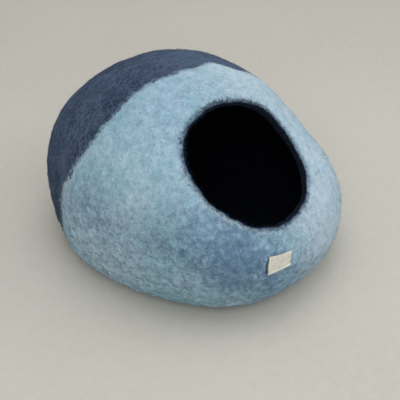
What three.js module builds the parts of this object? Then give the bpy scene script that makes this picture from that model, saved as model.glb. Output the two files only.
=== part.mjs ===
import * as THREE from "three";

// A wet-felted cat cave: one seamless shell of thick wool felt, egg-shaped, flat
// underneath, with a round mouth in its sloping front, and a small cotton label
// sewn on below the mouth. Millimetres, +Z up. The cave stands on z = 0, the mouth
// faces -Y and up, and the origin is the middle of the footprint.
//
// Directions are told as azimuth from -Y towards +X and elevation, in degrees.

// The egg: half width, length ahead of and behind its middle, half height, and the
// height of the middle above the ground. Squareness 2 is an ellipsoid.
const BODY = {
  halfWidth: 188,
  frontLength: 240,
  backLength: 222,
  halfHeight: 185,
  middleHeight: 98,
  squareness: 2.25,
};

// The flatter, sloping front that the mouth is cut in.
const FRONT = { azimuth: 5, elevation: 53, distance: 162, crispness: 7 };

// The weight of the wet wool flattens the bottom: what would reach below the ground
// lies on it, with a soft turn this high on either side of the ground, and a rounder
// one inside.
const BOTTOM = { turn: 31, insideTurn: 45 };

// Swells and hollows left by hand shaping.
const SWELLS = [
  { at: "right nose", azimuth: 35, elevation: 5, spread: 35, rise: 8 },
  { at: "left shoulder", azimuth: -75, elevation: 25, spread: 35, rise: -4 },
  { at: "right shoulder", azimuth: 75, elevation: 25, spread: 35, rise: -7 },
  { at: "crown", azimuth: 180, elevation: 65, spread: 40, rise: 5 },
  { at: "back", azimuth: 180, elevation: 10, spread: 40, rise: 3 },
  { at: "left haunch", azimuth: -115, elevation: -10, spread: 35, rise: 9 },
  { at: "right haunch", azimuth: 115, elevation: -10, spread: 35, rise: 6 },
  { at: "chin", azimuth: -10, elevation: -32, spread: 34, rise: -17 },
  { at: "left flank", azimuth: -55, elevation: -25, spread: 34, rise: -11 },
  { at: "right flank", azimuth: 58, elevation: -27, spread: 32, rise: -9 },
  { at: "right corner", azimuth: 22, elevation: 12, spread: 14, rise: 5 },
  { at: "right cheek", azimuth: 58, elevation: 25, spread: 17, rise: -11.5 },
  { at: "front corner", azimuth: 18, elevation: -9, spread: 13, rise: -3 },
  { at: "front foot", azimuth: -12, elevation: -20, spread: 13, rise: -4 },
  { at: "left haunch's rear", azimuth: -132, elevation: -4, spread: 12, rise: -2.5 },
  { at: "left back corner", azimuth: -150, elevation: 20, spread: 16, rise: 2 },
];

// The felt, and the mouth: a ring of this angular radius round its own axis, cut by
// hand, so its edge wanders in waves round the ring, counted from the top.
const FELT = 8;
const MOUTH = { azimuth: -4, elevation: 45, radius: 31.2 };
const MOUTH_WAVES = [
  { waves: 1, top: 1.1, side: -3.2 },
  { waves: 2, top: 0.1, side: 0.3 },
  { waves: 3, top: -1.1, side: 0.1 },
  { waves: 4, top: -0.2, side: -0.1 },
];

// The label: a folded strip of cotton tape, its corners sewn to the felt and its
// edges drawn in between them. Corners run round it from the top left.
const LABEL = { thickness: 1.2, gap: 0.33, drawnIn: 0.05 };
const LABEL_CORNERS = [
  { corner: "top left", azimuth: -21.3, elevation: 6.4 },
  { corner: "top right", azimuth: -10.9, elevation: 4.7 },
  { corner: "bottom right", azimuth: -12.9, elevation: -0.4 },
  { corner: "bottom left", azimuth: -22.6, elevation: -0.6 },
];

// How finely the surfaces are divided.
const MESH = { round: 72, outside: 36, inside: 24, lip: 6, labelWide: 12, labelHigh: 8 };

const WOOL_COLOUR = "#93adb9";
const COTTON_COLOUR = "#c9c3b0";

const MIDDLE = new THREE.Vector3(0, 0, BODY.middleHeight);
const radians = THREE.MathUtils.degToRad;

function direction(azimuth, elevation) {
  const across = Math.cos(radians(elevation));
  return new THREE.Vector3(
    Math.sin(radians(azimuth)) * across,
    -Math.cos(radians(azimuth)) * across,
    Math.sin(radians(elevation)),
  );
}

// The unflattened egg's radius from its middle along a direction.
function eggRadius(d) {
  const length = d.y < 0 ? BODY.frontLength : BODY.backLength;
  const n = BODY.squareness;
  const egg =
    (Math.abs(d.x / BODY.halfWidth) ** n +
      Math.abs(d.y / length) ** n +
      Math.abs(d.z / BODY.halfHeight) ** n) **
    (-1 / n);
  const slope = Math.max(d.dot(direction(FRONT.azimuth, FRONT.elevation)), 0) / FRONT.distance;
  const p = FRONT.crispness;
  let radius = (egg ** -p + slope ** p) ** (-1 / p);
  for (const swell of SWELLS) {
    const away = d.angleTo(direction(swell.azimuth, swell.elevation)) / radians(swell.spread);
    radius += swell.rise * Math.exp(-(away ** 2) / 2);
  }
  return radius;
}

// A point of the skin, with the bottom laid flat on z = 0.
function skin(d, turn = BOTTOM.turn) {
  const p = MIDDLE.clone().addScaledVector(d, eggRadius(d));
  if (p.z < -turn) p.z = 0;
  else if (p.z < turn) p.z = (p.z + turn) ** 2 / (4 * turn);
  return p;
}

// The outward normal of the skin, from two short steps across it.
const STEP = 0.004;

function skinNormal(d, turn = BOTTOM.turn) {
  const sideways = new THREE.Vector3(-d.y, d.x, 0).normalize();
  const upward = d.clone().cross(sideways);
  const across = (way) =>
    skin(d.clone().addScaledVector(way, STEP).normalize(), turn).sub(
      skin(d.clone().addScaledVector(way, -STEP).normalize(), turn),
    );
  return across(sideways).cross(across(upward)).normalize();
}

// A point of the inside of the felt.
function innerFace(d) {
  const turn = BOTTOM.insideTurn;
  return skin(d, turn).addScaledVector(skinNormal(d, turn), -FELT);
}

// Directions round the mouth: turn 0 is its top and "away" the angle from its axis.
const mouthAxis = direction(MOUTH.azimuth, MOUTH.elevation);
const mouthUp = direction(MOUTH.azimuth, MOUTH.elevation + 90);
const mouthSide = mouthAxis.clone().cross(mouthUp);

function aroundMouth(turn, away) {
  const outward = mouthUp
    .clone()
    .multiplyScalar(Math.cos(turn))
    .addScaledVector(mouthSide, -Math.sin(turn));
  return mouthAxis
    .clone()
    .multiplyScalar(Math.cos(away))
    .addScaledVector(outward, Math.sin(away));
}

function mouthEdge(turn) {
  let away = MOUTH.radius;
  for (const w of MOUTH_WAVES) {
    away += w.top * Math.cos(w.waves * turn) + w.side * Math.sin(w.waves * turn);
  }
  return radians(away);
}

// One station round the shell: from the back pole over the outside to the mouth,
// round the soft lip, and back along the inside of the felt.
function shellStation(turn) {
  const edge = mouthEdge(turn);
  const away = (share) => edge + (Math.PI - edge) * share;
  const station = [];
  for (let i = MESH.outside - 1; i >= 0; i--) {
    station.push(skin(aroundMouth(turn, away(i / MESH.outside))));
  }
  const rim = aroundMouth(turn, edge);
  const out = skinNormal(rim);
  const inward = skin(aroundMouth(turn, edge - STEP))
    .sub(skin(rim))
    .normalize();
  inward.addScaledVector(out, -inward.dot(out)).normalize();
  const heart = skin(rim).addScaledVector(out, -FELT / 2);
  for (let i = 1; i < MESH.lip; i++) {
    const roll = (Math.PI * i) / MESH.lip;
    station.push(
      heart
        .clone()
        .addScaledVector(out, (Math.cos(roll) * FELT) / 2)
        .addScaledVector(inward, (Math.sin(roll) * FELT) / 2),
    );
  }
  for (let i = 0; i < MESH.inside; i++) {
    station.push(innerFace(aroundMouth(turn, away(i / MESH.inside))));
  }
  return station;
}

function geometryOf(points, triangles) {
  const geometry = new THREE.BufferGeometry();
  const positions = points.flatMap((p) => p.toArray());
  geometry.setAttribute("position", new THREE.Float32BufferAttribute(positions, 3));
  geometry.setIndex(triangles);
  geometry.computeVertexNormals();
  return geometry;
}

// The felt shell: stations side by side all the way round, closed by a fan of
// triangles at the back pole outside and another inside.
function shellGeometry() {
  const points = [];
  for (let i = 0; i < MESH.round; i++) {
    points.push(...shellStation((2 * Math.PI * i) / MESH.round));
  }
  const rows = points.length / MESH.round;
  const back = aroundMouth(0, Math.PI);
  const outerPole = points.push(skin(back)) - 1;
  const innerPole = points.push(innerFace(back)) - 1;
  const triangles = [];
  for (let i = 0; i < MESH.round; i++) {
    const here = i * rows;
    const next = ((i + 1) % MESH.round) * rows;
    triangles.push(outerPole, here, next);
    for (let j = 0; j < rows - 1; j++) {
      triangles.push(here + j, next + j + 1, next + j);
      triangles.push(here + j, here + j + 1, next + j + 1);
    }
    triangles.push(innerPole, next + rows - 1, here + rows - 1);
  }
  return geometryOf(points, triangles);
}

// A direction on the label: u runs from its left to its right edge, v downwards.
// Edges draw in between the corners, most in their middles.
function labelDirection(u, v) {
  const drawn = (along) => 1 - LABEL.drawnIn * (1 - (2 * along - 1) ** 2);
  const across = 0.5 + (u - 0.5) * drawn(v);
  const down = 0.5 + (v - 0.5) * drawn(u);
  const [topLeft, topRight, bottomRight, bottomLeft] = LABEL_CORNERS;
  const mix = (key) =>
    (1 - down) * ((1 - across) * topLeft[key] + across * topRight[key]) +
    down * ((1 - across) * bottomLeft[key] + across * bottomRight[key]);
  return direction(mix("azimuth"), mix("elevation"));
}

// The label: a thin sheet that follows the felt, its face over its underside.
function labelGeometry() {
  const columns = MESH.labelWide + 1;
  const rows = MESH.labelHigh + 1;
  const points = [];
  for (const lift of [LABEL.gap + LABEL.thickness, LABEL.gap]) {
    for (let j = 0; j < rows; j++) {
      for (let i = 0; i < columns; i++) {
        const d = labelDirection(i / MESH.labelWide, j / MESH.labelHigh);
        points.push(skin(d).addScaledVector(skinNormal(d), lift));
      }
    }
  }
  const under = columns * rows;
  const triangles = [];
  for (let j = 0; j < MESH.labelHigh; j++) {
    for (let i = 0; i < MESH.labelWide; i++) {
      const a = j * columns + i;
      const c = a + columns;
      triangles.push(a, c, a + 1, a + 1, c, c + 1);
      triangles.push(under + a, under + a + 1, under + c);
      triangles.push(under + a + 1, under + c + 1, under + c);
    }
  }
  const edge = [];
  for (let i = 0; i < MESH.labelWide; i++) edge.push(i);
  for (let j = 0; j < MESH.labelHigh; j++) edge.push(j * columns + MESH.labelWide);
  for (let i = MESH.labelWide; i > 0; i--) edge.push(MESH.labelHigh * columns + i);
  for (let j = MESH.labelHigh; j > 0; j--) edge.push(j * columns);
  edge.forEach((a, i) => {
    const b = edge[(i + 1) % edge.length];
    triangles.push(a, b, under + b, a, under + b, under + a);
  });
  return geometryOf(points, triangles);
}

function piece(name, geometry, colour) {
  const material = new THREE.MeshStandardMaterial({ color: colour, roughness: 0.95, metalness: 0 });
  const mesh = new THREE.Mesh(geometry, material);
  mesh.name = name;
  return mesh;
}

const cave = new THREE.Group();
cave.name = "felt_cat_cave";
cave.add(piece("cave_shell", shellGeometry(), WOOL_COLOUR));
cave.add(piece("label", labelGeometry(), COTTON_COLOUR));

// The origin stands in the middle of the footprint.
const footprint = new THREE.Box3().setFromObject(cave).getCenter(new THREE.Vector3());
cave.position.set(-footprint.x, -footprint.y, 0);

export default cave;
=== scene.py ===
import math

import bpy
import numpy as np
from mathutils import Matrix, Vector


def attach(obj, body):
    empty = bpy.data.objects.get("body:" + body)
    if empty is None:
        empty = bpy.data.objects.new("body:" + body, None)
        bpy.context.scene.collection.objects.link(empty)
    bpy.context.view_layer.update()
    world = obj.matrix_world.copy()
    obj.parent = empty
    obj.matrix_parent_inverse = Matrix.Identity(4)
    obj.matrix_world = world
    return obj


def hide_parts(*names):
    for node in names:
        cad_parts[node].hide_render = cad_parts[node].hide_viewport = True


# A wet-felted cat cave: one seamless shell of thick wool felt, egg-shaped and flat
# underneath, navy inside and at the back, with a layer of light grey-blue wool over
# its front, a round mouth with a soft navy lip, and a small cotton label sewn on
# below the mouth. Frame: metres, +Z up, the mouth faces -Y and up.
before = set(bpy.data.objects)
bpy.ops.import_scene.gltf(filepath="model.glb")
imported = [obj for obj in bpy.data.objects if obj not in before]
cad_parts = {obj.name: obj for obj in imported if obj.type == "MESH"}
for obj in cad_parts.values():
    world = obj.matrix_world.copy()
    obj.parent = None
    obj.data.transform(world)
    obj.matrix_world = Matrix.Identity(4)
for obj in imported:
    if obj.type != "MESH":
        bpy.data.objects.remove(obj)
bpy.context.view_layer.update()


# ------------------------------------------------------------------ the camera --
# A longish lens, high on the left of the mouth, looks down on the cave.
CAMERA_AT = (-0.7228, -0.6227, 0.8652)
CAMERA_AIM = (-0.0212, -0.0341, 0.0967)
FIELD_OF_VIEW = 28

camera = bpy.data.objects.new("camera", bpy.data.cameras.new("camera"))
camera.data.angle = math.radians(FIELD_OF_VIEW)
camera.location = CAMERA_AT
looking = Vector(CAMERA_AIM) - Vector(CAMERA_AT)
camera.rotation_euler = looking.to_track_quat("-Z", "Y").to_euler()
bpy.context.scene.collection.objects.link(camera)
bpy.context.scene.camera = camera
bpy.context.scene.view_settings.view_transform = "Standard"


# ----------------------------------------------------------- the floor and light --
# The cave stands on a wide pale sheet, faintly mottled, as unbleached cloth is, under
# a broad soft light from above on the right and the pale walls of a studio.
MM = 0.001
FLOOR_HALF = 4.0
FLOOR_PALE = (0.500, 0.490, 0.445)
FLOOR_DULL = (0.470, 0.455, 0.405)
MOTTLE_SIZE, FLOOR_GRAIN_SIZE = 0.30, 0.014
SKY_COLOUR = (1.0, 1.0, 1.0)
SKY_STRENGTH = 0.63
# Each lamp: azimuth from -Y towards +X, elevation in degrees, and watts.
LAMPS = {"top_lamp": (0, 90, 13.5), "right_lamp": (40, 32, 7), "near_lamp": (-50, 45, 9)}
LAMP_DISTANCE = 1.9
LAMP_WIDTH = 1.4
LAMP_AIM = Vector((0, 0, 0.1))


class Wire:
    """One output of a node, in its tree. Sums and products of wires are Math nodes."""

    def __init__(self, tree, end=None):
        self.tree = tree
        self.end = end

    def node(self, kind, settings, values, output=0):
        """A new node, its settings first, then the values or wires of its sockets."""
        made = self.tree.nodes.new(kind)
        for name, setting in settings.items():
            setattr(made, name, setting)
        for name, value in values.items():
            for wire in value if isinstance(value, list) else [value]:
                if isinstance(wire, Wire):
                    self.tree.links.new(wire.end, made.inputs[name])
                else:
                    made.inputs[name].default_value = wire
        return Wire(self.tree, made.outputs[output] if made.outputs else None)

    def other(self, output):
        """Another output of the node that this wire comes from."""
        return Wire(self.tree, self.end.node.outputs[output])

    def math(self, operation, *values):
        sockets = dict(enumerate((self, *values)))
        return self.node("ShaderNodeMath", {"operation": operation}, sockets)

    def __add__(self, other):
        return self.math("ADD", other)

    def __sub__(self, other):
        return self.math("SUBTRACT", other)

    def __mul__(self, other):
        return self.math("MULTIPLY", other)

    def __truediv__(self, other):
        return self.math("DIVIDE", other)

    def __neg__(self):
        return self * -1

    def __abs__(self):
        return self.math("ABSOLUTE")

    def __rsub__(self, other):
        return -self + other

    __radd__ = __add__
    __rmul__ = __mul__

    def between(self, low, high):
        """0 below low and 1 above high, with a soft step from one to the other."""
        return self.node(
            "ShaderNodeMapRange",
            {"interpolation_type": "SMOOTHSTEP"},
            {"Value": self, "From Min": low, "From Max": high},
        )

    def noise(self, size, detail=2.0, roughness=0.5, distortion=0.0):
        """Noise over this place, mostly -1 to 1, with features of this size in metres."""
        grain = {"Vector": self, "Scale": 1 / size, "Detail": detail}
        grain |= {"Roughness": roughness, "Distortion": distortion}
        return (self.node("ShaderNodeTexNoise", {}, grain) - 0.5) * 4

    def tint(self, low, high):
        """A colour from low to high, by this share."""
        colours = {0: self}
        for socket, colour in ((6, low), (7, high)):
            colours[socket] = colour if isinstance(colour, Wire) else (*colour, 1)
        return self.node("ShaderNodeMix", {"data_type": "RGBA"}, colours, output=2)

    def scaled(self, share):
        """This colour or vector times a share."""
        values = {0: self, "Scale": share}
        return self.node("ShaderNodeVectorMath", {"operation": "SCALE"}, values)

    def part(self, axis):
        """The X, Y or Z of this vector."""
        return self.node("ShaderNodeSeparateXYZ", {}, {"Vector": self}, output=axis)


def material_tree(name):
    """A new material, a wire in its empty tree, and its surface's place."""
    material = bpy.data.materials.new(name)
    material.use_nodes = True
    material.node_tree.nodes.clear()
    tree = Wire(material.node_tree)
    place = tree.node("ShaderNodeTexCoord", {}, {}, output="Object")
    return material, tree, place


def surface(tree, **sockets):
    """The tree's Principled surface, its sockets named with _ for a space."""
    values = {name.replace("_", " "): value for name, value in sockets.items()}
    shader = tree.node("ShaderNodeBsdfPrincipled", {}, values)
    tree.node("ShaderNodeOutputMaterial", {}, {"Surface": shader})


def mesh_object(name, points, faces, material):
    """A smooth mesh of points in millimetres, with its object at the origin."""
    mesh = bpy.data.meshes.new(name)
    mesh.from_pydata((np.asarray(points) * MM).tolist(), [], faces)
    mesh.polygons.foreach_set("use_smooth", [True] * len(mesh.polygons))
    mesh.materials.append(material)
    made = bpy.data.objects.new(name, mesh)
    bpy.context.scene.collection.objects.link(made)
    return made


cloth, tree, place = material_tree("floor_cloth")
mottle = place.noise(MOTTLE_SIZE, detail=3) * 0.3
mottle = mottle + place.noise(FLOOR_GRAIN_SIZE, detail=4, roughness=0.7) * 0.5
surface(
    tree,
    Base_Color=mottle.between(-0.6, 0.6).tint(FLOOR_DULL, FLOOR_PALE),
    Roughness=0.95,
    Specular_IOR_Level=0.1,
)
half = FLOOR_HALF / MM
corners = [(-half, -half, 0), (half, -half, 0), (half, half, 0), (-half, half, 0)]
floor = mesh_object("floor", corners, [(0, 1, 2, 3)], cloth)

world = bpy.data.worlds.new("studio")
world.use_nodes = True
sky = world.node_tree.nodes["Background"]
sky.inputs["Color"].default_value = (*SKY_COLOUR, 1)
sky.inputs["Strength"].default_value = SKY_STRENGTH
bpy.context.scene.world = world

for name, (azimuth, elevation, watts) in LAMPS.items():
    lamp = bpy.data.objects.new(name, bpy.data.lights.new(name, "AREA"))
    lamp.data.shape = "DISK"
    lamp.data.size = LAMP_WIDTH
    lamp.data.energy = watts
    azimuth, elevation = math.radians(azimuth), math.radians(elevation)
    across = math.cos(elevation)
    away = Vector((math.sin(azimuth) * across, -math.cos(azimuth) * across, math.sin(elevation)))
    lamp.location = LAMP_AIM + away * LAMP_DISTANCE
    lamp.rotation_euler = (-away).to_track_quat("-Z", "Y").to_euler()
    bpy.context.scene.collection.objects.link(lamp)


# --------------------------------------------------------------- the felt shell --
# The whole cave is one seamless wall of wet-felted wool, 8 mm thick, shaped over a
# form by hand: navy wool, with a layer of light grey-blue wool felted on over the
# front that stops at a ragged line. The mouth is cut, and its lip rubbed round.
# The egg, in millimetres: its middle, its half sizes, and the slope across its front,
# whose facing is an azimuth from -Y towards +X and an elevation, both in degrees.
EGG_MIDDLE = np.array((0.98, -4.39, 98))
EGG_HALF_WIDTH = 188
EGG_FRONT, EGG_BACK = 240, 222
EGG_HALF_HEIGHT = 185
EGG_SQUARENESS = 2.25
FRONT_FACING = (5, 53)
FRONT_DISTANCE = 162
FRONT_CRISPNESS = 7
# The wall, and how far above the ground its two faces start to turn under.
FELT = 8
BOTTOM_TURN, INSIDE_TURN = 31, 45
# Where hands and form left it fuller or flatter: azimuth, elevation and spread in
# degrees, and rise in millimetres.
SWELLS = (
    (35, 5, 35, 8),
    (-75, 25, 35, -4),
    (75, 25, 35, -7),
    (180, 65, 40, 5),
    (180, 10, 40, 3),
    (-115, -10, 35, 9),
    (115, -10, 35, 6),
    (-10, -32, 34, -17),
    (-55, -25, 34, -11),
    (58, -27, 32, -9),
    (22, 12, 14, 5),
    (58, 25, 17, -11.5),
    (18, -9, 13, -3),
    (-12, -20, 13, -4),
    (-132, -4, 12, -2.5),
    (-150, 20, 16, 2),
)
MOUTH_FACING = (-4, 45)
MOUTH_RADIUS = 31.2
# How far the mouth's edge wanders, in degrees: waves round it, at its top, at its side.
MOUTH_WAVES = ((1, 1.1, -3.2), (2, 0.1, 0.3), (3, -1.1, 0.1), (4, -0.2, -0.1))
# The cut edge also wobbles a little, from the scissors and the rubbing.
MOUTH_WOBBLE = ((7, 0.12, 0.06), (11, 0.09, -0.10), (17, -0.07, 0.06), (29, 0.05, 0.05))
# The line where the light wool ends, round the cave from its underside over the left
# flank, the top and the right flank: degrees from the top towards +X, and y there.
WOOL_LINE = (
    (-180, 110),
    (-120, 120),
    (-99, 110),
    (-94.5, 103.5),
    (-86.4, 100.5),
    (-79, 97),
    (-72, 93),
    (-68.6, 86.4),
    (-65.5, 80.3),
    (-59.7, 74.6),
    (-54.5, 69.2),
    (-49.5, 62.1),
    (-44.7, 57.2),
    (-40, 54.9),
    (-35.3, 51.2),
    (-30.4, 49.7),
    (-22.6, 48.6),
    (-17.4, 45.5),
    (-12.3, 41.1),
    (-9.2, 41),
    (-4.2, 33.3),
    (-0.9, 33.3),
    (5.1, 28.6),
    (7.6, 24),
    (15.3, 24.3),
    (19.3, 24),
    (22.6, 20.9),
    (24.4, 14.2),
    (28.7, 2.4),
    (31, -4),
    (45, -8),
    (60, 15),
    (90, 50),
    (120, 80),
    (180, 110),
)
# Where the carded wool came out bluer, or less blue where below 0: azimuth, elevation,
# spread in degrees and strength.
BLUE_PATCHES = (
    (-31, 8, 11, 1.1),
    (-47, 13, 12, 0.35),
    (-99, 18, 10, 0.6),
    (-43, 27, 10, 0.4),
    (-64, 12, 12, 0.4),
    (-15, -10, 10, 0.65),
    (1, -14, 14, 0.15),
    (-90, 60, 16, 0.4),
    (-85, 38, 12, -0.3),
    (-60, 2, 8, -0.3),
    (45, 82, 14, 0.25),
)
# Where more pale wool was laid on, and where paler wool is painted in as light low on the front and
# low on the left, in the same terms.
PALE_AND_PAINTED_LIGHT_PATCHES = (
    (61, 51, 22, 0.75),
    (32, 18, 13, 0.55),
    (12, 3, 14, 0.75),
    # Painted light, as paler wool, low on the front.
    (6, -18, 12, 1.0),
    (119, 65, 14, 0.60),
    # Painted light, as paler wool, low on the left flank.
    (-98, -8, 14, 0.65),
    (-103, 14, 9, 0.20),
    (-76, 25, 13, 0.35),
    (-60, -12, 14, 0.15),
    (-30, -14, 12, 0.25),
)
# How far the dark wool of the lip reaches out over the light wool, in millimetres, at
# these degrees round the mouth from its top.
DARK_REACH = (
    (0, 1.0),
    (30, 0.3),
    (48, 2.4),
    (68, 4.6),
    (92, 2.4),
    (130, 4.4),
    (165, 0.9),
    (182, 1.6),
    (200, 0.0),
    (228, -1.6),
    (270, -1.2),
    (300, 1.2),
    (325, 0.2),
)
# The lip's edge is fringed at the top, and a pale highlight is painted on it below: the
# middle of each in degrees round the mouth, and its spread.
FRINGE_MIDDLE, FRINGE_SPREAD = 5, 70
LIP_HIGHLIGHT_MIDDLE, LIP_HIGHLIGHT_SPREAD = 242, 34
# Navy wool fades into the light wool over this many millimetres, more on one side.
FADE, SIDE_FADE = 4.0, 8.5
FADE_MIDDLE, FADE_SPREAD = 95, 60
# The line between the wools is crisp, but softer low on the left flank: millimetres,
# then degrees round the egg from its top.
LINE_SOFT, LINE_SOFTER = 1.5, 2.1
SOFTER_MIDDLE, SOFTER_SPREAD = -82, 24
# Felting left the face pebbly on the left, most of all low down, and smoother elsewhere.
PEBBLY_ALL, PEBBLY_LEFT = 0.20, 0.80
PEBBLY_HIGH, PEBBLY_LOW = 0.17, 0.83
PEBBLY_SIDE, PEBBLY_SIDE_STEP = 0.1, 3
PEBBLY_BELOW, PEBBLY_BELOW_STEP = 150, 50
# The felt is pressed flat on the ground, and calm where the label holds it.
PRESSED_BELOW = 9
LABEL_FACING, LABEL_SPREAD = (-17, 2.6), 7.5
LABEL_HOLD = 0.85
# More loose fibres stand on the right-hand side of the front than elsewhere.
SIDE_FUZZ_FACING, SIDE_FUZZ_SPREAD = (55, -8), 38
# Fibres are this fine across the way they lie, and this drawn out along it, in
# millimetres.
FIBRE_ACROSS, FIBRE_ALONG = 4.5, 22
# The inside's near-black painted shade, a material of its own, starts this far inside the cut edge.
PAINTED_SHADE_FROM = 14
# The mesh: how many stations round the mouth, and rows from it to the far pole.
SHELL_ROUND = 384
SHELL_OUTSIDE, SHELL_LIP, SHELL_INSIDE = 186, 10, 44
ROW_CROWDING = 1.12
NORMAL_STEP = 0.004


def heading(azimuth, elevation):
    """The direction at an azimuth and elevation in degrees."""
    azimuth, elevation = np.radians(azimuth), np.radians(elevation)
    across = np.cos(elevation)
    parts = np.sin(azimuth) * across, -np.cos(azimuth) * across, np.sin(elevation)
    return np.stack(np.broadcast_arrays(*parts), axis=-1)


def degrees_from(ways, azimuth, elevation):
    return np.degrees(np.arccos(np.clip(ways @ heading(azimuth, elevation), -1, 1)))


def unit(vectors):
    return vectors / np.linalg.norm(vectors, axis=-1, keepdims=True)


def egg_radius(ways):
    """How far the felt's face lies from the middle along these ways."""
    length = np.where(ways[..., 1] < 0, EGG_FRONT, EGG_BACK)
    n, p = EGG_SQUARENESS, FRONT_CRISPNESS
    egg = abs(ways[..., 0] / EGG_HALF_WIDTH) ** n + abs(ways[..., 1] / length) ** n
    egg = (egg + abs(ways[..., 2] / EGG_HALF_HEIGHT) ** n) ** (-1 / n)
    slope = np.maximum(ways @ heading(*FRONT_FACING), 0) / FRONT_DISTANCE
    radius = (egg**-p + slope**p) ** (-1 / p)
    for azimuth, elevation, spread, rise in SWELLS:
        away = degrees_from(ways, azimuth, elevation) / spread
        radius = radius + rise * np.exp(-(away**2) / 2)
    return radius


def bell(values, middle, spread):
    """1 at the middle, falling to nothing on both sides."""
    return np.exp(-(((values - middle) / spread) ** 2))


def skin(ways, turn=BOTTOM_TURN):
    """The felt's face along these ways, its bottom laid flat on the ground."""
    points = EGG_MIDDLE + ways * egg_radius(ways)[..., None]
    z = points[..., 2]
    laid_flat = np.maximum(z + turn, 0) ** 2 / (4 * turn)
    points[..., 2] = np.where(z < turn, laid_flat, z)
    return points


def skin_normal(ways, turn=BOTTOM_TURN):
    """Which way the felt faces there, from the slope of its face."""
    sideways = np.stack([-ways[..., 1], ways[..., 0], 0 * ways[..., 0]], axis=-1)
    sideways = unit(sideways + (0, 0, 1e-9))
    upward = np.cross(ways, sideways)

    def across(way):
        step = NORMAL_STEP * way
        return skin(unit(ways + step), turn) - skin(unit(ways - step), turn)

    return unit(np.cross(across(sideways), across(upward)))


mouth_axis = heading(*MOUTH_FACING)
mouth_up = heading(MOUTH_FACING[0], MOUTH_FACING[1] + 90)
mouth_side = np.cross(mouth_axis, mouth_up)


def around_mouth(turn, away):
    """Ways round the mouth's axis: turn 0 is its top, away the angle from its axis."""
    turn, away = np.broadcast_arrays(turn, away)
    outward = np.cos(turn)[..., None] * mouth_up - np.sin(turn)[..., None] * mouth_side
    return np.cos(away)[..., None] * mouth_axis + np.sin(away)[..., None] * outward


def mouth_edge(turn):
    """How far the mouth's edge lies from its axis at this turn, in radians."""
    away = MOUTH_RADIUS
    for waves, top, side in MOUTH_WAVES + MOUTH_WOBBLE:
        away = away + top * np.cos(waves * turn) + side * np.sin(waves * turn)
    return np.radians(away)


def wool_line(points):
    """How far points lie behind the end of the light wool, in millimetres."""
    degrees, line = np.array(WOOL_LINE).T
    even = np.arange(-200, 201)
    wrapped = (even + 180) % 360 - 180
    softened = np.convolve(np.interp(wrapped, degrees, line), np.ones(3) / 3, "same")
    x, y, z = (points - EGG_MIDDLE).T
    return y - np.interp(np.degrees(np.arctan2(x, z)), even, softened)


def ramp(values, low, high):
    return np.clip((values - low) / (high - low), 0, 1)


turns = np.linspace(0, 2 * math.pi, SHELL_ROUND, endpoint=False)[:, None]
edges = mouth_edge(turns)
outside = (np.arange(SHELL_OUTSIDE - 1, -1, -1) / SHELL_OUTSIDE) ** ROW_CROWDING
inside = (np.arange(SHELL_INSIDE) / SHELL_INSIDE) ** ROW_CROWDING
outside = around_mouth(turns, edges + (math.pi - edges) * outside)
inside = around_mouth(turns, edges + (math.pi - edges) * inside)
rims = around_mouth(turns, edges)
outward = skin_normal(rims)
inward = unit(skin(around_mouth(turns, edges - NORMAL_STEP)) - skin(rims))
inward = unit(inward - outward * (inward * outward).sum(axis=-1, keepdims=True))
roll = (math.pi * np.arange(1, SHELL_LIP) / SHELL_LIP)[:, None]
hearts = skin(rims) - outward * FELT / 2
lip = hearts + FELT / 2 * (outward * np.cos(roll) + inward * np.sin(roll))


def inner_skin(ways):
    """The inner face of the wall."""
    return skin(ways, INSIDE_TURN) - FELT * skin_normal(ways, INSIDE_TURN)


stations = np.concatenate([skin(outside), lip, inner_skin(inside)], axis=1)
rows = stations.shape[1]
back_way = around_mouth(np.zeros(1), np.full(1, math.pi))
poles = [skin(back_way), inner_skin(back_way)]
shell_points = np.concatenate([stations.reshape(-1, 3), *poles])
pole_outside, pole_inside = len(shell_points) - 2, len(shell_points) - 1

shell_faces = []
for i in range(SHELL_ROUND):
    here, following = i * rows, (i + 1) % SHELL_ROUND * rows
    shell_faces.append((pole_outside, here, following))
    for j in range(rows - 1):
        shell_faces.append((here + j, here + j + 1, following + j + 1, following + j))
    shell_faces.append((pole_inside, following + rows - 1, here + rows - 1))

# What the wool does at each point: behind the end of the light wool, outside the
# mouth's edge or inside it, bluer or paler, and how pebbly the felting left it.
steps = np.linalg.norm(np.diff(stations, axis=1), axis=2)
along = np.concatenate([np.zeros((SHELL_ROUND, 1)), np.cumsum(steps, axis=1)], axis=1)
from_lip = along[:, SHELL_OUTSIDE - 1 : SHELL_OUTSIDE] - along
from_lip = np.append(from_lip.reshape(-1), [500, -500])
shell_ways = unit(shell_points - EGG_MIDDLE)
shell_height = shell_points[:, 2]


def patchy(patches):
    """How strong these patches are at each point of the shell."""
    amount = np.zeros(len(shell_points))
    for azimuth, elevation, spread, strength in patches:
        away = degrees_from(shell_ways, azimuth, elevation) / spread
        amount += strength * np.exp(-(away**2) / 2)
    return amount


left = 0.5 + 0.5 * np.tanh((-shell_ways[:, 0] - PEBBLY_SIDE) * PEBBLY_SIDE_STEP)
low = 0.5 + 0.5 * np.tanh((PEBBLY_BELOW - shell_height) / PEBBLY_BELOW_STEP)
pebbly = PEBBLY_ALL + PEBBLY_LEFT * left * (PEBBLY_HIGH + PEBBLY_LOW * low)
wool_end = wool_line(shell_points)
x, y, z = (shell_points - EGG_MIDDLE).T
round_egg = np.arctan2(x, z)
line_softness = LINE_SOFT + LINE_SOFTER * bell(np.degrees(round_egg), SOFTER_MIDDLE, SOFTER_SPREAD)
turn = np.append(np.repeat(np.degrees(turns), rows), [0, 0])
dark_reach = np.interp(turn, *zip(*DARK_REACH), period=360)
from_fringe = (turn - FRINGE_MIDDLE + 180) % 360 - 180
fringe = bell(from_fringe, 0, FRINGE_SPREAD)
lip_highlight = bell(turn, LIP_HIGHLIGHT_MIDDLE, LIP_HIGHLIGHT_SPREAD)
navy_fade = FADE + SIDE_FADE * bell(turn, FADE_MIDDLE, FADE_SPREAD)
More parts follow.
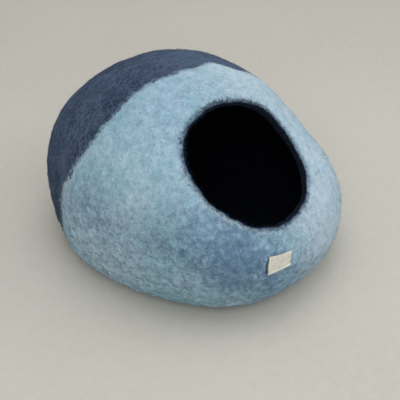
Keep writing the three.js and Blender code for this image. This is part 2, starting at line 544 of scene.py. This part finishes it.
# Fibres lie round the cave: across the lay they are fine, along it drawn out.
lay = np.stack([y / FIBRE_ACROSS, round_egg * EGG_HALF_WIDTH / FIBRE_ALONG, 0 * z], axis=-1)
standing = ramp(shell_height, 0, PRESSED_BELOW) ** 2
standing_inside = ramp(shell_height, FELT, FELT + PRESSED_BELOW)
held_down = np.where(from_lip < -FELT, standing_inside, standing)
under_label = degrees_from(shell_ways, *LABEL_FACING) / LABEL_SPREAD
held_down = held_down * (1 - LABEL_HOLD * np.exp(-(under_label**4)))

# The sizes and heights, in metres and millimetres, of what felting leaves on the face:
# broad lumps, knobs, and the pebbles that the fibres draw together into.
LUMP_SIZE, LUMP_HEIGHT = 0.042, 0.8
KNOB_SIZE, KNOB_HEIGHT = 0.018, 1.1
PEBBLE_SIZE, PEBBLE_HEIGHT = 0.0095, 1.0
# How much thicker the felt is under the light wool, in millimetres, and over what width.
LAYER_HEIGHT = 0.8
LAYER_STEP = 3.5


def felt_pebbles(place, detail):
    """The pebbles, the same ones in the mesh and in the finish."""
    return place.noise(PEBBLE_SIZE, detail=detail, roughness=0.66, distortion=0.5)


def felt_relief(place, pebbly, behind, detail):
    """How high the felt's face stands, in millimetres."""
    lumps = place.noise(LUMP_SIZE, detail=1) * LUMP_HEIGHT
    knobs = place.noise(KNOB_SIZE, detail=1, distortion=1.2) * KNOB_HEIGHT
    pebbles = felt_pebbles(place, detail) * PEBBLE_HEIGHT
    light_layer = (-behind).between(-LAYER_STEP, LAYER_STEP) * LAYER_HEIGHT
    return lumps + light_layer - LAYER_HEIGHT + (knobs + pebbles) * pebbly


def geometry_tree(name, **sizes):
    """A Geometry Nodes tree, a wire in it, and its inputs by name."""
    group = bpy.data.node_groups.new(name, "GeometryNodeTree")
    kinds = {str: "NodeSocketString", int: "NodeSocketInt", float: "NodeSocketFloat"}
    group.interface.new_socket("Geometry", in_out="INPUT", socket_type="NodeSocketGeometry")
    for size, value in sizes.items():
        kind = kinds.get(type(value), "NodeSocketMaterial")
        group.interface.new_socket(size, in_out="INPUT", socket_type=kind)
    group.interface.new_socket("Geometry", in_out="OUTPUT", socket_type="NodeSocketGeometry")
    start = group.nodes.new("NodeGroupInput")
    inputs = {socket.name: Wire(group, socket) for socket in start.outputs if socket.name}
    return Wire(group), inputs


def grown(source, tree, name, **sizes):
    """A new object whose mesh is what the tree makes of the source's."""
    made = bpy.data.objects.new(name, source.data.copy())
    bpy.context.scene.collection.objects.link(made)
    modifier = made.modifiers.new(name, "NODES")
    modifier.node_group = tree.tree
    for item in tree.tree.interface.items_tree:
        if item.in_out == "INPUT" and item.name in sizes:
            modifier[item.identifier] = sizes[item.name]
    view = bpy.context.evaluated_depsgraph_get()
    mesh = bpy.data.meshes.new_from_object(made.evaluated_get(view))
    # Loose fibres and stitches come with an empty slot in front of their own materials.
    if mesh.materials[0] is None:
        mesh.materials.pop(index=0)
    made.modifiers.clear()
    made.data = mesh
    mesh.name = name
    return made


PALE_WOOL = (0.435, 0.545, 0.620)
LIGHT_WOOL = (0.345, 0.485, 0.570)
TEAL_WOOL = (0.222, 0.372, 0.452)
BLUE_WOOL = (0.120, 0.205, 0.310)
NAVY_WOOL = (0.016, 0.028, 0.056)
SLATE_WOOL = (0.068, 0.096, 0.150)
# The lip's navy is darkened with painted shade, and the inside's navy wool is painted near-black as
# shade.
LIP_NAVY_IN_PAINTED_SHADE = (0.007, 0.013, 0.030)
INSIDE_PAINTED_SHADE = (0.0035, 0.0045, 0.0080)
INSIDE_PAINTED_SHADE_PALER = (0.0060, 0.0075, 0.0120)
SHEEN_BLUE = (0.45, 0.65, 1.0, 1.0)
# The sizes of the colour's clouds, wisps and grain, and of the matted wool inside.
CLOUD_SIZE, WISP_SIZE, GRAIN_SIZE, MATTED_SIZE = 0.060, 0.018, 0.0034, 0.012
# In millimetres outside the cut edge: where the navy starts to fade, and over what step
# the lip's navy, darkened with painted shade, and the near-black painted shade inside it end.
FADE_FROM = -1.5
LIP_ENDS = (-3.2, -0.6)
PAINTED_SHADE_ENDS = (-4.6, -1.2)
# A shadow is painted on the felt along the label's left edge. It runs down from this
# elevation, leans to the left by so much a degree, and bows out like the label.
SHADOW_LINE_TOP, SHADOW_LINE_AZIMUTH, SHADOW_LINE_LEAN = 6.4, -21.45, 0.186
SHADOW_LINE_LONG, SHADOW_LINE_BOW = 7.0, 0.85
SHADOW_LINE_WIDTH = (0.05, 0.42)
SHADOW_LINE_ENDS = (-0.9, 0.2), (6.0, 6.9)

felted_wool, tree, place = material_tree("felted_wool")


def laid(name, output="Fac"):
    """What the shell's mesh carries under this name."""
    return tree.node("ShaderNodeAttribute", {"attribute_name": name}, {}, output=output)


behind, lip_side, pebbled = map(laid, ("behind the light wool", "outside the mouth", "pebbly"))
lip_side = lip_side - laid("dark reach")
clouds = place.noise(CLOUD_SIZE, detail=2, roughness=0.55)
wisps = place.noise(WISP_SIZE, detail=3, roughness=0.6, distortion=0.8)
pebbles = felt_pebbles(place, 4)
grain = place.noise(GRAIN_SIZE, detail=3, roughness=0.7, distortion=0.6)
combed = laid("lay of the fibres", "Vector").noise(1, detail=4, roughness=0.72, distortion=0.7)

# The light wool is teal to light in clouds, then paler or bluer in patches, with a pale
# rim where the line is soft.
light = (clouds * 0.6 + wisps * 0.5).between(-0.8, 0.8).tint(TEAL_WOOL, LIGHT_WOOL)
pale = (laid("paleness and painted light") + wisps * 0.25 + clouds * 0.15).between(0.0, 1.1)
light = pale.tint(light, PALE_WOOL)
bluish = laid("blueness") * (1.2 + wisps * 0.6) + (wisps * 0.6 + clouds * 0.4 + 0.15) * pebbled
# Painted shade: the hollows between the felt's pebbles are bluer.
bluish = bluish - pebbles * 0.35 - grain * 0.2
light = (bluish.between(-0.2, 1.8) * 0.95).tint(light, BLUE_WOOL)
softness = laid("softness of the line")
rim = (1 - (-behind - wisps * 2.5).between(5.0, 14.0)) * softness.between(1.2, 3.6)
light = (rim * 0.6).tint(light, PALE_WOOL)
# Painted shade and highlight: the light wool is darker in the hollows between the pebbles and
# grain, lighter on their tops.
light = light.scaled(1 + (pebbles * 0.45 + grain * 0.28) * pebbled + combed * 0.05)
# The navy wool is streaked with slate along the lay of its fibres.
navy = combed * 1.2 + grain * 2.2 + wisps * 1.0 + clouds * 0.7 + laid("paleness and painted light") * 2.0
navy = navy.between(-1.6, 1.9).tint(NAVY_WOOL, SLATE_WOOL)
# The light wool ends along a ragged line.
ragged = behind / softness + wisps * 2.6 + pebbles * 3.4 + grain * 3.6
wool = ragged.between(-1.9, 1.9).tint(light, navy)
# The painted shadow along the label's left edge.
facing = laid("azimuth and elevation", "Vector")
azimuth, elevation = facing.part("X"), facing.part("Y")
down_shadow_line = SHADOW_LINE_TOP - elevation
shadow_line_bow = (down_shadow_line * (math.pi / SHADOW_LINE_LONG)).math("SINE") * SHADOW_LINE_BOW
from_shadow_line = azimuth - SHADOW_LINE_AZIMUTH + down_shadow_line * SHADOW_LINE_LEAN + shadow_line_bow + grain * 0.05
shadow_line_below, shadow_line_above = SHADOW_LINE_ENDS
label_edge_shadow = (1 - abs(from_shadow_line + 0.05).between(*SHADOW_LINE_WIDTH)) * elevation.between(*shadow_line_below)
label_edge_shadow = label_edge_shadow * (1 - elevation.between(*shadow_line_above))
wool = (label_edge_shadow * 0.85).tint(wool, LIP_NAVY_IN_PAINTED_SHADE)
# The lip: navy that fades outwards, a pale highlight painted on its edge below, the lip's
# navy darkened with painted shade, and the inside painted near-black as shade.
fray = pebbles * 0.9 + grain * 1.0 + combed * 0.3
faded = (lip_side + fray * 1.6).between(FADE_FROM, laid("navy fade"))
wool = ((1 - faded) * 0.75).tint(wool, BLUE_WOOL)
# A pale highlight painted along the lower lip's edge.
painted_lip_highlight = lip_side.between(-0.5, 2.0) * (1 - (lip_side + wisps * 2).between(2.5, 9.0))
wool = (painted_lip_highlight * laid("lip_highlight") * 0.7).tint(wool, PALE_WOOL)
frayed_lip = lip_side + fray * 0.8
wool = (1 - frayed_lip.between(*LIP_ENDS)).tint(wool, LIP_NAVY_IN_PAINTED_SHADE)
wool = (1 - frayed_lip.between(*PAINTED_SHADE_ENDS)).tint(wool, INSIDE_PAINTED_SHADE)
height = pebbles * 0.8 * pebbled + grain * 0.5 + combed * 0.12
bump = tree.node("ShaderNodeBump", {}, {"Height": height, "Strength": 1.0, "Distance": MM})
surface(
    tree,
    Base_Color=wool,
    Roughness=1.0,
    Specular_IOR_Level=0.05,
    Sheen_Weight=0.06,
    Sheen_Roughness=0.6,
    Sheen_Tint=SHEEN_BLUE,
    Normal=bump,
)

# The inside: its navy wool painted near-black as shade, with a faint matted grain.
painted_shade_inside, tree, place = material_tree("painted_shade_inside")
matted = place.noise(MATTED_SIZE, detail=3, roughness=0.65, distortion=0.6)
surface(
    tree,
    Base_Color=matted.between(-0.6, 0.6).tint(INSIDE_PAINTED_SHADE, INSIDE_PAINTED_SHADE_PALER),
    Roughness=1.0,
    Specular_IOR_Level=0.0,
)

# Loose fibres stand clear of the ground, the lip and the label, the last in shares of
# its spread, and each kind keeps to its zone: millimetres from the line or the cut edge.
CLEAR_OF_GROUND, CLEAR_OF_LIP, CLEAR_OF_LABEL = (7, 14), (2, 7), (1.05, 1.25)
FRINGE_ELSEWHERE = 0.15
off_ground = ramp(shell_height, *CLEAR_OF_GROUND) * held_down
off_ground = off_ground * ramp(under_label, *CLEAR_OF_LABEL)
off_lip = ramp(from_lip, *CLEAR_OF_LIP)
over_light, over_navy = ramp(-wool_end, -1, 2), ramp(wool_end, -1, 2)
side_away = degrees_from(shell_ways, *SIDE_FUZZ_FACING)
on_fringe = FRINGE_ELSEWHERE + (1 - FRINGE_ELSEWHERE) * fringe

smooth_shell = mesh_object("smooth_shell", shell_points, shell_faces, felted_wool)
for name, values in {
    "behind the light wool": wool_end,
    "outside the mouth": from_lip,
    "dark reach": dark_reach,
    "navy fade": navy_fade,
    "lip_highlight": lip_highlight,
    "blueness": patchy(BLUE_PATCHES),
    "paleness and painted light": patchy(PALE_AND_PAINTED_LIGHT_PATCHES),
    "softness of the line": line_softness,
    "pebbly": pebbly,
    "free to swell": held_down,
    "front fuzz": over_light * off_lip * off_ground,
    "back fuzz": over_navy * off_lip * off_ground,
    "line fuzz": ramp(4 - abs(wool_end), 0, 3) * ramp(from_lip, 3, 7) * off_ground,
    "side fuzz": over_light * off_lip * off_ground * bell(side_away, 0, SIDE_FUZZ_SPREAD),
    "lip fuzz": ramp(from_lip, -6, -2) * ramp(3 - from_lip, 0, 3),
    "lip fringe": ramp(from_lip, -1, 1) * ramp(5 + dark_reach - from_lip, 0, 4) * on_fringe,
}.items():
    attribute = smooth_shell.data.attributes.new(name, "FLOAT", "POINT")
    attribute.data.foreach_set("value", np.ascontiguousarray(values, np.float32))
azimuths = np.degrees(np.arctan2(shell_ways[:, 0], -shell_ways[:, 1]))
elevations = np.degrees(np.arcsin(shell_ways[:, 2]))
facings = np.stack([azimuths, elevations, 0 * azimuths], axis=-1)
for name, vectors in {"lay of the fibres": lay, "azimuth and elevation": facings}.items():
    attribute = smooth_shell.data.attributes.new(name, "FLOAT_VECTOR", "POINT")
    attribute.data.foreach_set("vector", vectors.astype(np.float32).reshape(-1))
# Faces deep inside the mouth take the near-black painted-shade material.
smooth_shell.data.materials.append(painted_shade_inside)
deep_inside = np.array([max(from_lip[list(face)]) < -PAINTED_SHADE_FROM for face in shell_faces])
smooth_shell.data.polygons.foreach_set("material_index", deep_inside.astype(np.int32))

swelling, inputs = geometry_tree("felt_swelling", Height=1.0)


def named(tree, name):
    """What the mesh in this tree carries under this name."""
    values = {"Name": name}
    return tree.node("GeometryNodeInputNamedAttribute", {"data_type": "FLOAT"}, values)


face_place = swelling.node("GeometryNodeInputPosition", {}, {})
face_normal = swelling.node("GeometryNodeInputNormal", {}, {})
pebbly_there, behind_there = named(swelling, "pebbly"), named(swelling, "behind the light wool")
relief = felt_relief(face_place, pebbly_there, behind_there, detail=1)
rise = relief * named(swelling, "free to swell") * inputs["Height"] * MM
moved = {"Geometry": inputs["Geometry"], "Offset": face_normal.scaled(rise)}
swollen = swelling.node("GeometryNodeSetPosition", {}, moved)
swelling.node("NodeGroupOutput", {}, {"Geometry": swollen})
felt_shell = grown(smooth_shell, swelling, "felt_shell", Height=1.0)
bpy.data.objects.remove(smooth_shell)
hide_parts("cave_shell")
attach(felt_shell, "root")


# ------------------------------------------------------------- the loose fibres --
# Wet felting leaves single wool fibres standing a millimetre or two off the face: pale
# and blue over the front, slate over the back, pale and navy where the light wool ends.
# The lip of the mouth has short navy fibres all round, many painted near-black as shade, and a
# coarser fringe at its top.
STRAND_SIDES, STRAND_STEPS = 3, 3
ROOT_DEPTH = 0.3
TIP_THINNING = 0.65
# A strand's middle and end, in shares of its length: along, to the side of its curl, up.
STRAND_MIDDLE, STRAND_END = (0.55, 1.0, 0.12), (1.0, -0.4, 0.02)
STRAND_CURL, FLECK_CURL = 0.30, -0.22
# How strands may roll, and dip below the felt's face, in radians, and how they vary in
# length, curl and height.
STRAND_ROLL, STRAND_DIP = 0.2, 0.04
LEAST_STRAND, MOST_STRAND = (0.5, 0.4, 0.6), (1.5, 1.6, 1.4)


def random_vector(tree, low, high, seed):
    """A vector between these two, another at each point."""
    values = {0: low, 1: high, 8: seed}
    return tree.node("FunctionNodeRandomValue", {"data_type": "FLOAT_VECTOR"}, values)


fuzz, size = geometry_tree(
    "fuzz",
    Zone="",
    Density=1.0,
    Length=1.0,
    Thickness=1.0,
    Lift=1.0,
    Seed=0,
    Wool=None,
    Flecks=None,
)
length, lift, seed = size["Length"], size["Lift"], size["Seed"]
density = named(fuzz, size["Zone"]) * size["Density"]
points = fuzz.node(
    "GeometryNodeDistributePointsOnFaces",
    {"distribute_method": "RANDOM"},
    {"Mesh": size["Geometry"], "Density": density, "Seed": seed},
)
ring = {"Resolution": STRAND_SIDES, "Radius": size["Thickness"] / 2}
ring = fuzz.node("GeometryNodeCurvePrimitiveCircle", {"mode": "RADIUS"}, ring)
along_strand = fuzz.node("GeometryNodeSplineParameter", {}, {}, output="Factor")


def strand_point(shares, curl):
    along, sideways, up = shares
    values = {"X": length * along, "Y": length * (sideways * curl), "Z": length * up}
    return fuzz.node("ShaderNodeCombineXYZ", {}, values)


strands = []
for curl, fleck in ((STRAND_CURL, False), (FLECK_CURL, True)):
    bent = {
        "Resolution": STRAND_STEPS,
        "Start": (0, 0, -ROOT_DEPTH * MM),
        "Middle": strand_point(STRAND_MIDDLE, curl),
        "End": strand_point(STRAND_END, curl),
    }
    strand = fuzz.node("GeometryNodeCurveQuadraticBezier", {}, bent)
    tapered = 1 - along_strand * TIP_THINNING
    tube = {"Curve": strand, "Profile Curve": ring, "Scale": tapered, "Fill Caps": True}
    strand = fuzz.node("GeometryNodeCurveToMesh", {}, tube)
    strand = fuzz.node(
        "GeometryNodeStoreNamedAttribute",
        {"data_type": "BOOLEAN", "domain": "FACE"},
        {"Geometry": strand, "Name": "fleck", "Value": fleck},
    )
    strands.append(fuzz.node("GeometryNodeGeometryToInstance", {}, {"Geometry": strand}))
strands = fuzz.node("GeometryNodeJoinGeometry", {}, {"Geometry": strands})
tilt = fuzz.node("ShaderNodeCombineXYZ", {}, {"X": -STRAND_ROLL, "Y": -lift, "Z": -math.pi})
spin = random_vector(fuzz, tilt, (STRAND_ROLL, STRAND_DIP, math.pi), seed + 1)
spin = fuzz.node("FunctionNodeEulerToRotation", {}, {"Euler": spin})
turned = {"Rotation": points.other("Rotation"), "Rotate By": spin}
turned = fuzz.node("FunctionNodeRotateRotation", {"rotation_space": "LOCAL"}, turned)
plain_or_fleck = fuzz.node(
    "FunctionNodeRandomValue", {"data_type": "INT"}, {4: 0, 5: 1, 8: seed + 2}, output=2
)
placed = fuzz.node(
    "GeometryNodeInstanceOnPoints",
    {},
    {
        "Points": points,
        "Instance": strands,
        "Pick Instance": True,
        "Instance Index": plain_or_fleck,
        "Rotation": turned,
        "Scale": random_vector(fuzz, LEAST_STRAND, MOST_STRAND, seed + 3),
    },
)
real = fuzz.node("GeometryNodeRealizeInstances", {}, {"Geometry": placed})
real = fuzz.node("GeometryNodeSetMaterial", {}, {"Geometry": real, "Material": size["Wool"]})
flecks = fuzz.node("GeometryNodeInputNamedAttribute", {"data_type": "BOOLEAN"}, {"Name": "fleck"})
flecked = {"Geometry": real, "Selection": flecks, "Material": size["Flecks"]}
real = fuzz.node("GeometryNodeSetMaterial", {}, flecked)
fuzz.node("NodeGroupOutput", {}, {"Geometry": real})

WOOLS = {
    "pale_fibre": (0.43, 0.53, 0.59),
    "blue_fibre": (0.16, 0.25, 0.35),
    "slate_fibre": (0.085, 0.115, 0.17),
    "navy_fibre": (0.020, 0.031, 0.056),
    # Navy fibre painted near-black as shade, for the lip.
    "dark_fibre": (0.004, 0.006, 0.012),
}
wools = {}
for name, colour in WOOLS.items():
    wools[name], tree, _ = material_tree(name)
    surface(tree, Base_Color=(*colour, 1), Roughness=0.95, Specular_IOR_Level=0.03)

# Each fuzz: its zone, strands a square metre, length and thickness in metres, how far
# up it may stand in radians, its wool, and the wool of its flecks.
FUZZES = {
    "front_fuzz": ("front fuzz", 34000, 0.0060, 0.00019, 0.22, "pale_fibre", "blue_fibre"),
    "back_fuzz": ("back fuzz", 30000, 0.0075, 0.00022, 0.20, "slate_fibre", "navy_fibre"),
    "line_fuzz": ("line fuzz", 480000, 0.0036, 0.00022, 0.25, "pale_fibre", "navy_fibre"),
    "side_fuzz": ("side fuzz", 80000, 0.0070, 0.00017, 0.40, "pale_fibre", "blue_fibre"),
    "lip_fuzz": ("lip fuzz", 850000, 0.0052, 0.00026, 0.85, "navy_fibre", "dark_fibre"),
    "lip_fringe": ("lip fringe", 500000, 0.0055, 0.00042, 0.35, "dark_fibre", "navy_fibre"),
}
for count, (name, of_zone) in enumerate(FUZZES.items()):
    zone, dense, long, thick, tilted, wool, fleck = of_zone
    grown_fuzz = grown(
        felt_shell,
        fuzz,
        name,
        Zone=zone,
        Density=float(dense),
        Length=long,
        Thickness=thick,
        Lift=tilted,
        Seed=100 * count + 7,
        Wool=wools[wool],
        Flecks=wools[fleck],
    )
    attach(grown_fuzz, "root")


# -------------------------------------------------------------------- the label --
# A short strip of cream cotton tape, bare, its bottom edge folded under into a narrow
# hem. It is sewn to the felt at its corners, so its edges draw in between them, except
# the left one, which bows out and stands a little proud.
LABEL_GAP = 0.58
LABEL_THICK = 0.8
# Its corners from the top left: azimuth and elevation; and its size in metres laid flat.
LABEL_CORNERS = ((-21.3, 6.4), (-10.9, 4.7), (-12.9, -0.4), (-22.6, -0.6))
LABEL_FLAT = (0.038, 0.027)
# From here on, widths and places are shares of the label, and heights millimetres.
DRAWN_IN = 0.05
LEFT_BOW, LEFT_BOW_WIDE = 0.08, 0.35
LEFT_PROUD, LEFT_PROUD_WIDE = 1.4, 0.13
PUFF, PUFF_AT_ENDS, PUFF_BETWEEN = 0.6, 0.35, 2.6
HEM_HIGH, HEM_FROM, HEM_TO = 0.45, 0.84, 0.89
EDGE_WORN, SIDE_WORN_WIDE, END_WORN_WIDE = 0.35, 0.012, 0.016
WRINKLE, LOST_AT_ENDS = 0.42, 0.6
HEM_WRINKLE, HEM_WRINKLE_MIDDLE, HEM_WRINKLE_WIDE = 0.12, 0.86, 0.08
LABEL_ACROSS, LABEL_DOWN = 60, 44
TAPE_PALE = (0.720, 0.700, 0.630)
TAPE_DULL = (0.500, 0.475, 0.405)
HEM_PALE = (0.800, 0.790, 0.740)
# The weave repeats every so many metres. The hem starts this many radians of it down.
WEAVE_PITCH = 0.0011
HEM_WEAVE = (131, 136)
SLUB_SIZE, SOIL_SIZE = 0.0022, 0.011

across, down = np.meshgrid(np.linspace(0, 1, LABEL_ACROSS + 1), np.linspace(0, 1, LABEL_DOWN + 1))


def drawn_in(share):
    """How wide the label stays here, between corners that are sewn down."""
    return 1 - DRAWN_IN * (1 - (2 * share - 1) ** 2)


def on_label(u, v):
    """The azimuths and elevations at shares u across and v down between the corners."""
    top_left, top_right, bottom_right, bottom_left = np.array(LABEL_CORNERS)
    top, bottom = (1 - u) * top_left + u * top_right, (1 - u) * bottom_left + u * bottom_right
    return (1 - v) * top + v * bottom


def worn(share, wide):
    """1 at both ends of this share, falling off over such a width."""
    return np.exp(-share / wide) + np.exp(-(1 - share) / wide)


bow = LEFT_BOW * bell(across, 0, LEFT_BOW_WIDE) * np.sin(math.pi * down)
u = (0.5 + (across - 0.5) * drawn_in(down) - bow)[..., None]
v = (0.5 + (down - 0.5) * drawn_in(across))[..., None]
label_at = on_label(u, v)
label_ways = heading(label_at[..., 0], label_at[..., 1])
label_out = skin_normal(label_ways)
puff = 4 * across * (1 - across) * (PUFF_AT_ENDS + PUFF_BETWEEN * down * (1 - down))
proud = bell(across, 0, LEFT_PROUD_WIDE) * (1 - (2 * down - 1) ** 4)
hem = HEM_HIGH * ramp(down, HEM_FROM, HEM_TO)
rounded = EDGE_WORN * LABEL_THICK * (worn(across, SIDE_WORN_WIDE) + worn(down, END_WORN_WIDE))
wrinkle = WRINKLE * np.sin(across * 11 + down * 6 + 1.0) * np.sin(down * 9 - across * 5)
wrinkle = wrinkle * (1 - LOST_AT_ENDS * np.abs(2 * down - 1))
hem_wrinkle = np.sin(across * 31 + 4 * down) * bell(down, HEM_WRINKLE_MIDDLE, HEM_WRINKLE_WIDE)
wrinkle = wrinkle + HEM_WRINKLE * hem_wrinkle
gap = LABEL_GAP + PUFF * puff + LEFT_PROUD * proud + wrinkle
under_face = skin(label_ways) + label_out * gap[..., None]
over_face = under_face + label_out * (LABEL_THICK + hem - rounded)[..., None]
label_points = np.concatenate([over_face.reshape(-1, 3), under_face.reshape(-1, 3)])
columns = LABEL_ACROSS + 1
under = columns * (LABEL_DOWN + 1)
label_faces = []
for j in range(LABEL_DOWN):
    for i in range(LABEL_ACROSS):
        a = j * columns + i
        label_faces.append((a, a + columns, a + columns + 1, a + 1))
        b = under + a
        label_faces.append((b, b + 1, b + columns + 1, b + columns))
edge = list(range(LABEL_ACROSS))
edge += [j * columns + LABEL_ACROSS for j in range(LABEL_DOWN)]
edge += [LABEL_DOWN * columns + i for i in range(LABEL_ACROSS, 0, -1)]
edge += [j * columns for j in range(LABEL_DOWN, 0, -1)]
for here, following in zip(edge, edge[1:] + edge[:1]):
    label_faces.append((here, following, under + following, under + here))

unbleached_cotton, tree, place = material_tree("unbleached_cotton")
threads_at = tree.node("ShaderNodeAttribute", {"attribute_name": "threads"}, {}, output="Vector")
warp, weft = threads_at.part("X"), threads_at.part("Y")
weave = warp.math("SINE") * weft.math("SINE")
slubs = place.noise(SLUB_SIZE, detail=3, roughness=0.6)
soil = place.noise(SOIL_SIZE, detail=2)
tone = (weave * 0.35 + slubs * 0.45 + soil * 0.5).between(-0.9, 0.8)
folded = (weft + slubs * 2).between(*HEM_WEAVE)
height = weave * 0.10 + slubs * 0.10
surface(
    tree,
    Base_Color=(folded * 0.8).tint(tone.tint(TAPE_DULL, TAPE_PALE), HEM_PALE),
    Roughness=0.9,
    Specular_IOR_Level=0.15,
    Normal=tree.node("ShaderNodeBump", {}, {"Height": height, "Strength": 0.8, "Distance": MM}),
)
label = mesh_object("cotton_label", label_points, label_faces, unbleached_cotton)
threads = np.stack([across * LABEL_FLAT[0], down * LABEL_FLAT[1], 0 * down], axis=-1)
threads = np.concatenate([threads.reshape(-1, 3)] * 2) * 2 * math.pi / WEAVE_PITCH
attribute = label.data.attributes.new("threads", "FLOAT_VECTOR", "POINT")
attribute.data.foreach_set("vector", threads.astype(np.float32).reshape(-1))
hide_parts("label")
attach(label, "root")


# ----------------------------------------------------------- the label's stitches --
# Two stitches of cream cotton thread tack each corner of the label to the felt, one
# over its side edge and one over its top or bottom edge.
THREAD_THICK, THREAD_SIDES, THREAD_STEP = 0.55, 8, 0.4
# The corner, as shares of the label, and which way is outwards there.
TACKED_CORNERS = ((0, 0, -1, -1), (1, 0, 1, -1), (1, 1, 1, 1), (0, 1, -1, 1))
# Along a stitch: how far outwards in shares of the label, and how high over the felt.
STITCH_RISE = (
    (0.030, -0.5),
    (0.026, 0.9),
    (0.010, 1.65),
    (-0.03, 1.85),
    (-0.06, 1.6),
    (-0.07, 0.9),
)
# How far in from the corner it is, and how much longer a share is across than down.
STITCH_IN = 0.045
ACROSS_TO_DOWN = 1.4
THREAD_PALE = (0.680, 0.650, 0.560)
THREAD_DULL = (0.480, 0.455, 0.380)
PLY_SIZE = 0.0009


def over_label(u, v, height):
    """A point over the label's shares u across and v down, this high over the felt."""
    way = heading(*on_label(u, v))[None]
    return (skin(way) + skin_normal(way) * height)[0]


stitch_points, stitch_edges = [], []
for u, v, right, below in TACKED_CORNERS:
    for sideways in (1, 0):
        for step, (out, height) in enumerate(STITCH_RISE):
            if step:
                stitch_edges.append((len(stitch_points) - 1, len(stitch_points)))
            along_u = right * (out if sideways else -STITCH_IN)
            along_v = below * (-STITCH_IN if sideways else out * ACROSS_TO_DOWN)
            stitch_points.append(over_label(u + along_u, v + along_v, height))
paths = bpy.data.meshes.new("stitch_paths")
paths.from_pydata((np.array(stitch_points) * MM).tolist(), stitch_edges, [])
paths = bpy.data.objects.new("stitch_paths", paths)

cotton_thread, tree, place = material_tree("cotton_thread")
plies = place.noise(PLY_SIZE, detail=3, roughness=0.6)
surface(
    tree,
    Base_Color=plies.between(-0.8, 0.8).tint(THREAD_DULL, THREAD_PALE),
    Roughness=0.85,
    Specular_IOR_Level=0.2,
)
sewing, size = geometry_tree("sewing", Thickness=1.0, Thread=None)
path = sewing.node("GeometryNodeMeshToCurve", {}, {"Mesh": size["Geometry"]})
even = {"Curve": path, "Length": THREAD_STEP * MM}
path = sewing.node("GeometryNodeResampleCurve", {"mode": "LENGTH"}, even)
round_thread = {"Resolution": THREAD_SIDES, "Radius": size["Thickness"] / 2}
round_thread = sewing.node("GeometryNodeCurvePrimitiveCircle", {"mode": "RADIUS"}, round_thread)
tube = {"Curve": path, "Profile Curve": round_thread, "Fill Caps": True}
thread = sewing.node("GeometryNodeCurveToMesh", {}, tube)
thread = sewing.node("GeometryNodeRealizeInstances", {}, {"Geometry": thread})
finished = {"Geometry": thread, "Material": size["Thread"]}
thread = sewing.node("GeometryNodeSetMaterial", {}, finished)
sewing.node("NodeGroupOutput", {}, {"Geometry": thread})
stitches = grown(paths, sewing, "label_stitches", Thickness=THREAD_THICK * MM, Thread=cotton_thread)
bpy.data.objects.remove(paths)
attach(stitches, "root")
